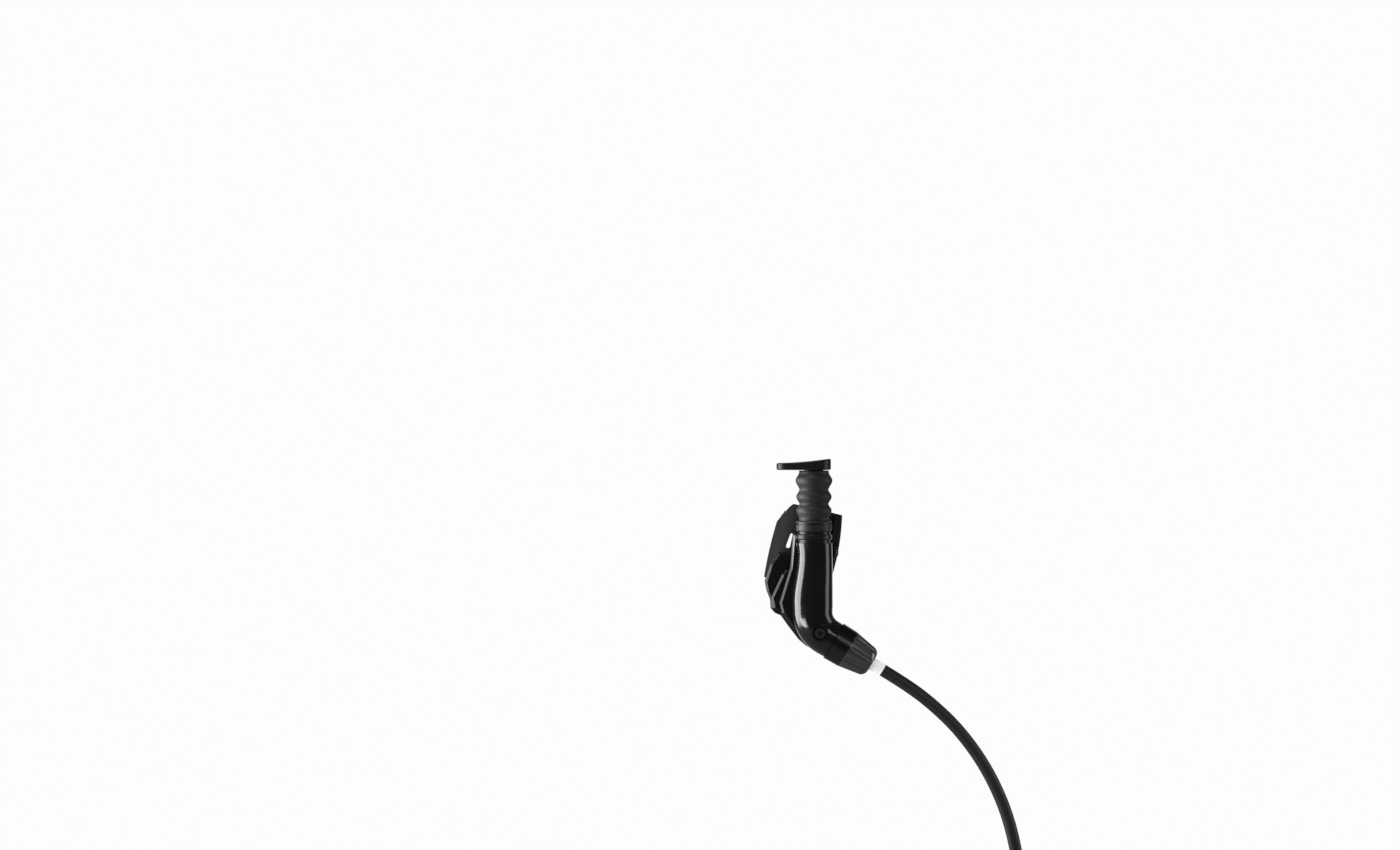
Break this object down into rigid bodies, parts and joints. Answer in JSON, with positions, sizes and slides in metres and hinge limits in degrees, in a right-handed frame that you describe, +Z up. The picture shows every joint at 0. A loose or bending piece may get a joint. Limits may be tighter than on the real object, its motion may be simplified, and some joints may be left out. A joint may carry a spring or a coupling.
{
  "type": "dropper post remote lever",
  "caption": "Handlebar remote for a dropper seatpost: thumb button over a bellows boot, hydraulic barrel, speed adjuster, hinged clamp and hose.",
  "frame": {"origin": "middle of the handlebar clamp, on the handlebar's axis", "axes": "+Z up along the barrel, from its elbow to the thumb button; +X to the side the hose leaves on; +Y from the barrel back through the clamp. The handlebar's axis lies in the XZ plane, its top leaning 12.9 degrees towards +X."},
  "size_m": [0.1167, 0.0663, 0.2551],
  "materials": {
    "body_paint": "gloss black coat on a cast alloy",
    "dark_steel": "blackened",
    "gland_alloy": "satin black anodised",
    "acetal": "natural white",
    "seal_rubber": "black",
    "collar_plastic": "semi gloss black",
    "boot_rubber": "matte black",
    "button_plastic": "semi gloss black",
    "steel": "ground",
    "bare_alloy": "machined",
    "knob_alloy": "gloss black anodised",
    "bright_alloy": "polished",
    "hose_nylon": "matte black",
    "tie_nylon": "matte black"
  },
  "bodies": {
    "casting": {"housing": "body_paint", "end_gland": "gland_alloy", "guide_bush": "acetal", "rod_wiper": "seal_rubber", "boot_collar": "collar_plastic", "boot": "boot_rubber", "return_spring": "steel", "bleed_screw": "dark_steel", "bleed_ring": "seal_rubber", "detent_ring": "collar_plastic", "adjuster_seal": "seal_rubber", "lock_ring": "steel", "hose_barb": "bright_alloy", "hinge_pin": "dark_steel", "hose": "hose_nylon", "hose_coil": "hose_nylon", "coil_tie": "tie_nylon", "end_nut": "gland_alloy", "end_barb": "bright_alloy"},
    "plunger": {"button": "button_plastic", "cross_pin": "steel", "push_rod": "steel", "piston": "bare_alloy", "front_seal": "seal_rubber", "rear_seal": "seal_rubber"},
    "adjuster": {"adjuster_knob": "knob_alloy"},
    "metering": {"metering_sleeve": "acetal"},
    "cap": {"clamp_cap": "body_paint"},
    "bolt": {"clamp_bolt": "dark_steel", "bolt_washer": "dark_steel"}
  },
  "joints": [
    {"name": "button_press", "type": "slide", "parent": "casting", "child": "plunger", "axis": [0, 0, -1], "range_m": [0, 0.0085], "stiffness_N_per_m": 1500, "springref_m": -0.004, "deforming": ["boot", "return_spring"]},
    {"name": "adjuster_turn", "type": "hinge", "parent": "casting", "child": "adjuster", "pos_m": [0.0121, -0.0227, -0.0425], "axis": [0.8572, 0, -0.515], "range_deg": [-270, 270]},
    {"name": "metering_travel", "type": "slide", "parent": "adjuster", "child": "metering", "axis": [0.8572, 0, -0.515], "range_m": [-0.0019, 0.0019]},
    {"name": "clamp_swing", "type": "hinge", "parent": "casting", "child": "cap", "pos_m": [-0.00937, 0.00962, 0.00215], "axis": [0.2233, 0, 0.9748], "range_deg": [0, 2.9]},
    {"name": "bolt_back_off", "type": "slide", "parent": "casting", "child": "bolt", "axis": [0.6893, 0.7071, -0.1579], "range_m": [0, 0.0017]}
  ],
  "couplings": [
    {"joint": "metering_travel", "follows": "adjuster_turn", "m_per_rad": 0.00039},
    {"joint": "bolt_back_off", "follows": "clamp_swing", "m_per_rad": 0.0322}
  ]
}
